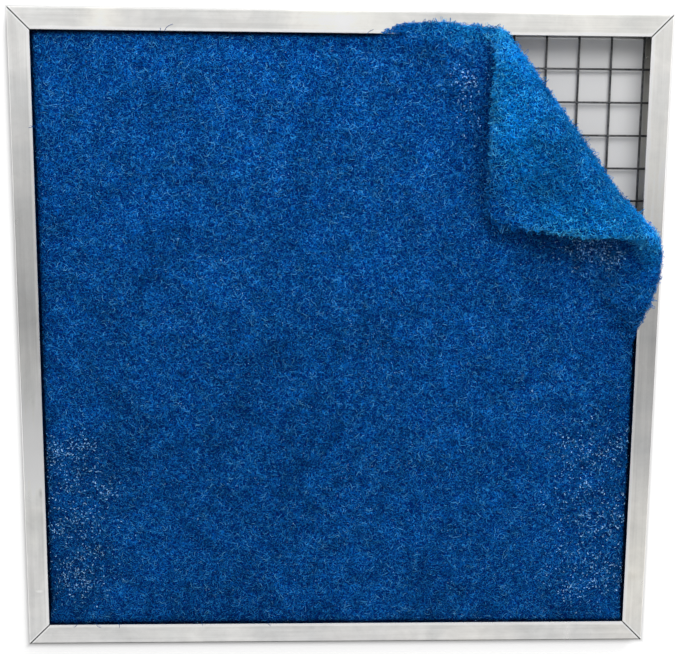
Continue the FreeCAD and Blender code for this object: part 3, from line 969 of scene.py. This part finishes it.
def specks():
    """Pale dots of painted light that stand close together where the pad is thin."""
    spots, normals = surface_samples(SPECKS, thin_weight)
    line = grow_curls(spots + normals * SPECK_RISE, normals, SPECK_LIFT, SPECK_REACH)
    clear = clear_of_metal(line)
    radius = rng.uniform(*SPECK_RADIUS, len(line))
    return line[clear], radius[clear], painted_light_tones(len(line))[clear]


def make_curls():
    groups = [curl_group(*group) for group in CURL_GROUPS]
    groups += [tuft(), specks()]
    line, radius, colour = (np.concatenate(values) for values in zip(*groups))
    for index in range(PIECES):
        part = slice(index, None, PIECES)
        tube_mesh("media_pad_curls_%d" % (index + 1), line[part], radius[part], colour[part])


make_curls()


# Stray fibres that reach from the pad over an inner lip: start on the pad, end on the lip and
# sideways bend
STRAYS = (
    ((-0.1345, 0.2320), (-0.1275, 0.2392), 0.0018),
    ((-0.1395, 0.2318), (-0.1370, 0.2365), -0.0010),
    ((-0.2315, 0.1665), (-0.2372, 0.1620), 0.0014),
    ((-0.2318, 0.1600), (-0.2360, 0.1636), -0.0010),
    ((-0.2120, -0.2322), (-0.2148, -0.2362), 0.0010),
    ((-0.1965, -0.2320), (-0.1925, -0.2366), -0.0012),
    ((-0.1808, -0.2322), (-0.1778, -0.2368), 0.0012),
    ((-0.1130, -0.2322), (-0.1105, -0.2358), 0.0009),
    ((-0.0575, -0.2322), (-0.0550, -0.2360), -0.0009),
    ((0.0170, 0.2320), (0.0225, 0.2370), 0.0012),
)
STRAY_POINTS = 12
STRAY_RADIUS = 0.00015
STRAY_LOW = PAD_FRONT + 0.0002
STRAY_CLIMB = FRONT + 0.0005 - PAD_FRONT
CLIMB_START, CLIMB_WIDTH = 0.0021, 0.0017


def make_strays():
    lines = []
    for start, end, bend in STRAYS:
        start, end = np.array(start), np.array(end)
        sideways = np.array([start[1] - end[1], end[0] - start[0]]) / np.linalg.norm(end - start)
        share = np.linspace(0.0, 1.0, STRAY_POINTS)
        plan = start + (end - start) * share[:, None]
        plan = plan + sideways * (bend * np.sin(math.pi * share))[:, None]
        climb = np.clip((out_on_plan(plan) - INNER + CLIMB_START) / CLIMB_WIDTH, 0.0, 1.0)
        lines.append(np.column_stack([plan, STRAY_LOW + STRAY_CLIMB * smooth_step(climb)]))
    line = np.array(lines)
    radius = np.full(len(line), STRAY_RADIUS)
    colour = np.tile(DARK * 0.7 + MIDDLE * 0.3, (len(line), 1))
    tube_mesh("media_pad_strays", line, radius, colour)


make_strays()


# Welds: a small flattened nugget where each level wire crosses an upright one, made of rings of a
# height and a share of its width, which is a share of the wire's radius
WELD_SIDES = 8
WELD_RINGS = ((-0.00075, 0.55), (-0.0003, 0.95), (0.0003, 0.95), (0.00075, 0.55))
WELD_WIDTH = (1.15, 1.4)


def nugget(x, y, z, start):
    """Points and faces of one weld. Its points are numbered from start on."""
    wide = WIRE_RADIUS * rng.uniform(*WELD_WIDTH)
    turns = [2.0 * math.pi * k / WELD_SIDES for k in range(WELD_SIDES)]
    points = [(x + wide * share * math.cos(turn), y + wide * share * math.sin(turn), z + height)
              for height, share in WELD_RINGS for turn in turns]
    faces = []
    for ring in range(len(WELD_RINGS) - 1):
        for k in range(WELD_SIDES):
            a = start + ring * WELD_SIDES + k
            b = start + ring * WELD_SIDES + (k + 1) % WELD_SIDES
            faces.append((a, b, b + WELD_SIDES, a + WELD_SIDES))
    last = start + len(points) - WELD_SIDES
    faces.append(tuple(range(start + WELD_SIDES - 1, start - 1, -1)))
    faces.append(tuple(range(last, last + WELD_SIDES)))
    return points, faces


def make_welds():
    points = []
    faces = []
    levels = [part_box(name) for name in sorted(nodes) if name.startswith("wire_level")]
    uprights = [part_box(name) for name in sorted(nodes) if name.startswith("wire_upright")]
    for level_low, level_high in levels:
        for upright_low, upright_high in uprights:
            x = (upright_low[0] + upright_high[0]) / 2.0
            y = (level_low[1] + level_high[1]) / 2.0
            more_points, more_faces = nugget(x, y, level_low[2], len(points))
            points += more_points
            faces += more_faces
    piece = add_mesh("grid_welds", points, faces, wire_metal)
    piece.data.shade_smooth()
    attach(piece, "root")


make_welds()


# Floor: pale, with a white glow outside the object, as a share of the distance from its middle. The
# glow starts faintly inside the frame, under the grid near the lips, as painted light that lifts
# the shade there
FLOOR_HALF = 6.0
FLOOR_HEIGHT = -0.0002
FLOOR_TONE = 0.60
FLOOR_GLOW = 0.63
FLOOR_MIDDLE = (0.0007, -0.0035)
FLOOR_RISE = ((0.41, 0.0), (0.470, 0.10), (0.5115, 0.20), (0.5140, 0.55), (0.5168, 0.86),
              (0.520, 1.0))

# Studio: strength of the world on the metal and on the rest, and its greys from low to high along
# Y, and one soft lamp that points at the object's middle
METAL_LIGHT = 1.0
AMBIENT = 0.78
STUDIO_BAND = ((-1.0, 0.10), (-0.72, 0.18), (-0.55, 0.96), (-0.29, 0.86), (-0.22, 0.09),
               (-0.05, 0.09), (0.015, 0.90), (0.10, 1.0), (1.0, 0.92))
LAMP_PLACE = (0.42, 0.98, 0.92)
LAMP_SIZE = 1.00
LAMP_POWER = 14.2


def make_floor():
    shader = Shader("floor_white")
    tone = (FLOOR_TONE, FLOOR_TONE, FLOOR_TONE, 1.0)
    shader.set(Base_Color=tone, Roughness=0.9, Specular_IOR_Level=0.0)
    around = shader.math("MULTIPLY", shader.from_middle(FLOOR_MIDDLE), 0.5)
    seen = shader.rays("Is Camera Ray", "Is Glossy Ray", "Is Transmission Ray")
    # The glow, faint already under the grid inside the frame: painted light there
    glow = shader.math("MULTIPLY", shader.ramp(around, FLOOR_RISE), FLOOR_GLOW)
    glow = shader.math("MULTIPLY", glow, seen)
    shader.set(Emission_Color=(1.0, 1.0, 1.0, 1.0), Emission_Strength=glow)
    corners = [(x * FLOOR_HALF, y * FLOOR_HALF, FLOOR_HEIGHT)
               for x, y in ((-1, -1), (1, -1), (1, 1), (-1, 1))]
    floor = add_mesh("floor", corners, [(0, 1, 2, 3)], shader.material)


def make_world():
    """White to the camera and through glass. To the metal and the rest it is a pale studio."""
    world = bpy.data.worlds.new("studio")
    bpy.context.scene.world = world
    sky = Nodes(world, "Generated")
    shown = sky.nodes["Background"]
    shown.inputs["Color"].default_value = (1.0, 1.0, 1.0, 1.0)
    shown.inputs["Strength"].default_value = 1.0
    _, along, _ = sky.axes()
    share = sky.math("MULTIPLY", sky.math("ADD", along, 1.0), 0.5)
    band = sky.ramp(share, [((place + 1.0) / 2.0, grey) for place, grey in STUDIO_BAND])
    studio = sky.nodes.new("ShaderNodeBackground")
    sky.link(band, studio.inputs["Color"])
    on_metal = sky.math("MULTIPLY", sky.rays("Is Glossy Ray"), METAL_LIGHT - AMBIENT)
    sky.link(sky.math("ADD", on_metal, AMBIENT), studio.inputs["Strength"])
    mix = sky.nodes.new("ShaderNodeMixShader")
    sky.link(sky.rays("Is Camera Ray", "Is Transmission Ray"), mix.inputs[0])
    sky.link(studio.outputs[0], mix.inputs[1])
    sky.link(shown.outputs[0], mix.inputs[2])
    sky.link(mix.outputs[0], sky.nodes["World Output"].inputs["Surface"])


def make_lamp():
    """One soft lamp. It is kept out of mirror images, in which it would clip the pale lips."""
    lamp = bpy.data.lights.new("key_lamp", "AREA")
    lamp.shape = "DISK"
    lamp.size = LAMP_SIZE
    lamp.energy = LAMP_POWER
    holder = add_object("key_lamp", lamp)
    holder.location = LAMP_PLACE
    x, y, z = LAMP_PLACE
    tilt = math.atan2(math.hypot(x, y), z)
    holder.rotation_euler = (tilt, 0.0, math.atan2(-y, -x) - math.pi / 2.0)
    holder.visible_glossy = False


def make_camera():
    data = bpy.data.cameras.new("camera")
    data.sensor_width = CAMERA_SENSOR
    data.sensor_fit = "HORIZONTAL"
    data.lens = CAMERA_LENS
    data.clip_start, data.clip_end = CAMERA_CLIP
    holder = add_object("camera", data)
    holder.location = CAMERA_PLACE
    holder.rotation_euler = [math.radians(a) for a in CAMERA_TURN]
    bpy.context.scene.camera = holder


make_floor()
make_world()
make_lamp()
make_camera()
bpy.context.scene.view_settings.view_transform = "Standard"
